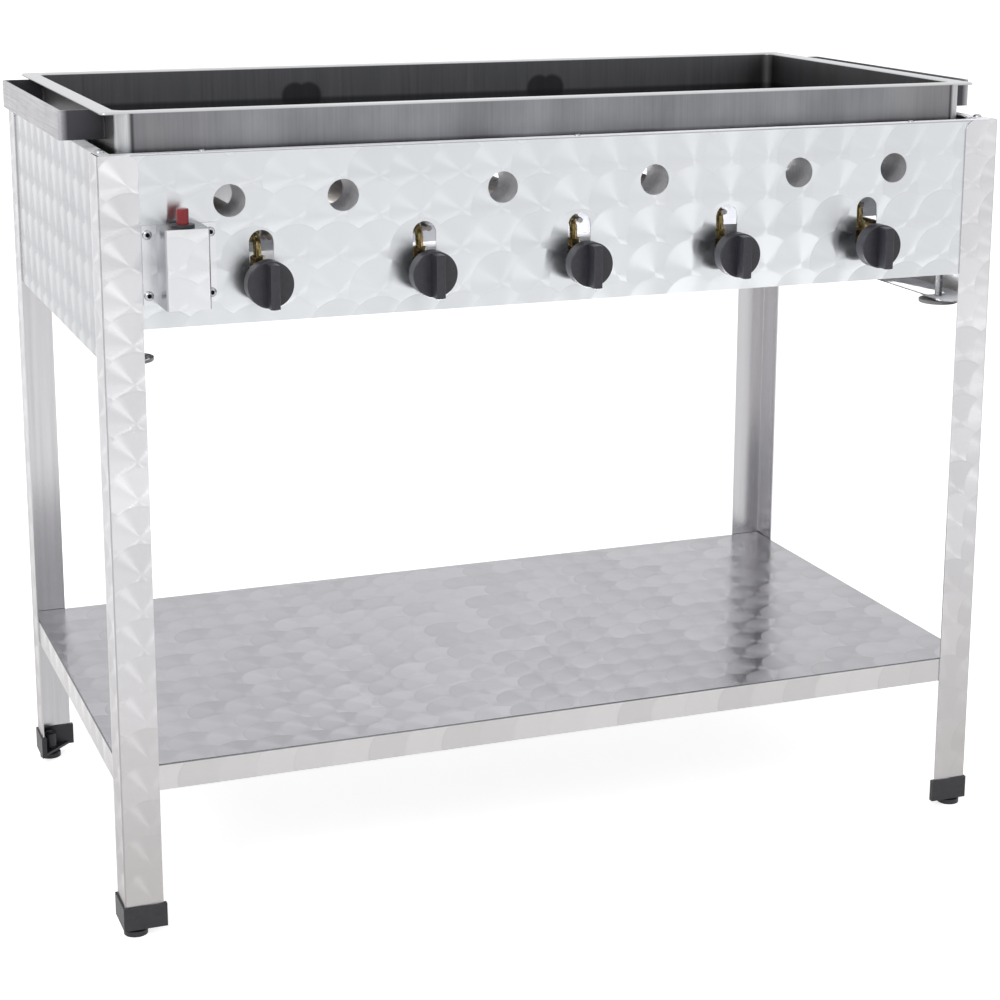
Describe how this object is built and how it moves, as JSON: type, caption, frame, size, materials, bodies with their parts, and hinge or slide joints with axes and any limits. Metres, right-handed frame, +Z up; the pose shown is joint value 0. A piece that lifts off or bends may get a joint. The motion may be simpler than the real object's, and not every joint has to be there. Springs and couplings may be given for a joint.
{
  "type": "gas griddle",
  "caption": "free-standing gas griddle: a rimmed steel pan with strip handles over ported burners in a folded stainless box, with taps, a piezo igniter, angle legs and a shelf",
  "frame": {"origin": "on the floor, under the middle of the overall bounding box", "axes": "+X along the pan to the right as seen from the taps, +Y from the taps to the back, +Z up"},
  "size_m": [1.038, 0.605, 0.848],
  "materials": {
    "stainless_sheet": "circle-polished stainless",
    "pan_steel": "brushed black-rolled steel",
    "handle_steel": "satin",
    "burner_steel": "heat-tinted",
    "brass": "drawn",
    "sensor_steel": "drawn steel sheath",
    "zinc_steel": "zinc-plated",
    "black_plastic": "moulded",
    "knob_plastic": "moulded",
    "grey_plastic": "moulded",
    "red_plastic": "moulded",
    "lead_rubber": "silicone sleeve",
    "ceramic": "glazed"
  },
  "bodies": {
    "frame": {"shelf": "stainless_sheet", "front_panel": "stainless_sheet", "rear_panel": "stainless_sheet", "left_panel": "stainless_sheet", "right_panel": "stainless_sheet", "leg_front_left": "stainless_sheet", "corner_shoe_front_left": "black_plastic", "leg_front_right": "stainless_sheet", "corner_shoe_front_right": "black_plastic", "leg_rear_left": "stainless_sheet", "corner_shoe_rear_left": "black_plastic", "leg_rear_right": "stainless_sheet", "corner_shoe_rear_right": "black_plastic", "leg_studs": "zinc_steel", "box_feet": "grey_plastic", "burner_carrier": "stainless_sheet", "gas_manifold": "zinc_steel", "gas_inlet": "brass", "tap_bodies": "brass", "gas_tubes": "brass", "injectors": "brass", "thermocouples": "sensor_steel", "burner_nuts": "zinc_steel", "igniter_box": "stainless_sheet", "igniter_screws": "zinc_steel", "piezo_body": "black_plastic", "ignition_lead": "lead_rubber", "ignition_electrode": "ceramic", "flange_screws": "zinc_steel", "pan_rests": "stainless_sheet", "burner_1": "burner_steel", "burner_2": "burner_steel", "burner_3": "burner_steel", "burner_4": "burner_steel", "burner_5": "burner_steel"},
    "foot_front_left": {"levelling_foot_front_left": "black_plastic"},
    "foot_front_right": {"levelling_foot_front_right": "black_plastic"},
    "foot_rear_left": {"levelling_foot_rear_left": "black_plastic"},
    "foot_rear_right": {"levelling_foot_rear_right": "black_plastic"},
    "tap_push_1": {"tap_plunger_1": "brass"},
    "tap_turn_1": {"knob_1": "knob_plastic", "tap_stem_1": "zinc_steel"},
    "tap_push_2": {"tap_plunger_2": "brass"},
    "tap_turn_2": {"knob_2": "knob_plastic", "tap_stem_2": "zinc_steel"},
    "tap_push_3": {"tap_plunger_3": "brass"},
    "tap_turn_3": {"knob_3": "knob_plastic", "tap_stem_3": "zinc_steel"},
    "tap_push_4": {"tap_plunger_4": "brass"},
    "tap_turn_4": {"knob_4": "knob_plastic", "tap_stem_4": "zinc_steel"},
    "tap_push_5": {"tap_plunger_5": "brass"},
    "tap_turn_5": {"knob_5": "knob_plastic", "tap_stem_5": "zinc_steel"},
    "ignition_button": {"igniter_button": "red_plastic"},
    "griddle_pan": {"pan": "pan_steel", "handle_left": "handle_steel", "handle_right": "handle_steel"}
  },
  "joints": [
    {"name": "foot_screw_front_left", "type": "hinge", "parent": "frame", "child": "foot_front_left", "pos_m": [-0.4875, -0.2395, 0.009], "axis": [0, 0, 1], "continuous": true},
    {"name": "foot_screw_front_right", "type": "hinge", "parent": "frame", "child": "foot_front_right", "pos_m": [0.4875, -0.2395, 0.009], "axis": [0, 0, 1], "continuous": true},
    {"name": "foot_screw_rear_left", "type": "hinge", "parent": "frame", "child": "foot_rear_left", "pos_m": [-0.4875, 0.2755, 0.009], "axis": [0, 0, 1], "continuous": true},
    {"name": "foot_screw_rear_right", "type": "hinge", "parent": "frame", "child": "foot_rear_right", "pos_m": [0.4875, 0.2755, 0.009], "axis": [0, 0, 1], "continuous": true},
    {"name": "knob_push_1", "type": "slide", "parent": "frame", "child": "tap_push_1", "axis": [0, 1, 0], "range_m": [0, 0.004], "stiffness_N_per_m": 900, "springref_m": -0.003},
    {"name": "knob_turn_1", "type": "hinge", "parent": "tap_push_1", "child": "tap_turn_1", "pos_m": [-0.34, -0.2505, 0.6815], "axis": [0, -1, 0], "range_deg": [0, 180]},
    {"name": "knob_push_2", "type": "slide", "parent": "frame", "child": "tap_push_2", "axis": [0, 1, 0], "range_m": [0, 0.004], "stiffness_N_per_m": 900, "springref_m": -0.003},
    {"name": "knob_turn_2", "type": "hinge", "parent": "tap_push_2", "child": "tap_turn_2", "pos_m": [-0.17, -0.2505, 0.6815], "axis": [0, -1, 0], "range_deg": [0, 180]},
    {"name": "knob_push_3", "type": "slide", "parent": "frame", "child": "tap_push_3", "axis": [0, 1, 0], "range_m": [0, 0.004], "stiffness_N_per_m": 900, "springref_m": -0.003},
    {"name": "knob_turn_3", "type": "hinge", "parent": "tap_push_3", "child": "tap_turn_3", "pos_m": [0, -0.2505, 0.6815], "axis": [0, -1, 0], "range_deg": [0, 180]},
    {"name": "knob_push_4", "type": "slide", "parent": "frame", "child": "tap_push_4", "axis": [0, 1, 0], "range_m": [0, 0.004], "stiffness_N_per_m": 900, "springref_m": -0.003},
    {"name": "knob_turn_4", "type": "hinge", "parent": "tap_push_4", "child": "tap_turn_4", "pos_m": [0.17, -0.2505, 0.6815], "axis": [0, -1, 0], "range_deg": [0, 180]},
    {"name": "knob_push_5", "type": "slide", "parent": "frame", "child": "tap_push_5", "axis": [0, 1, 0], "range_m": [0, 0.004], "stiffness_N_per_m": 900, "springref_m": -0.003},
    {"name": "knob_turn_5", "type": "hinge", "parent": "tap_push_5", "child": "tap_turn_5", "pos_m": [0.34, -0.2505, 0.6815], "axis": [0, -1, 0], "range_deg": [0, 180]},
    {"name": "igniter_press", "type": "slide", "parent": "frame", "child": "ignition_button", "axis": [0, 0, -1], "range_m": [0, 0.008], "stiffness_N_per_m": 1200, "springref_m": -0.002},
    {"name": "pan_lift", "type": "slide", "parent": "frame", "child": "griddle_pan", "axis": [0, 0, 1], "range_m": [0, 0.15]}
  ]
}
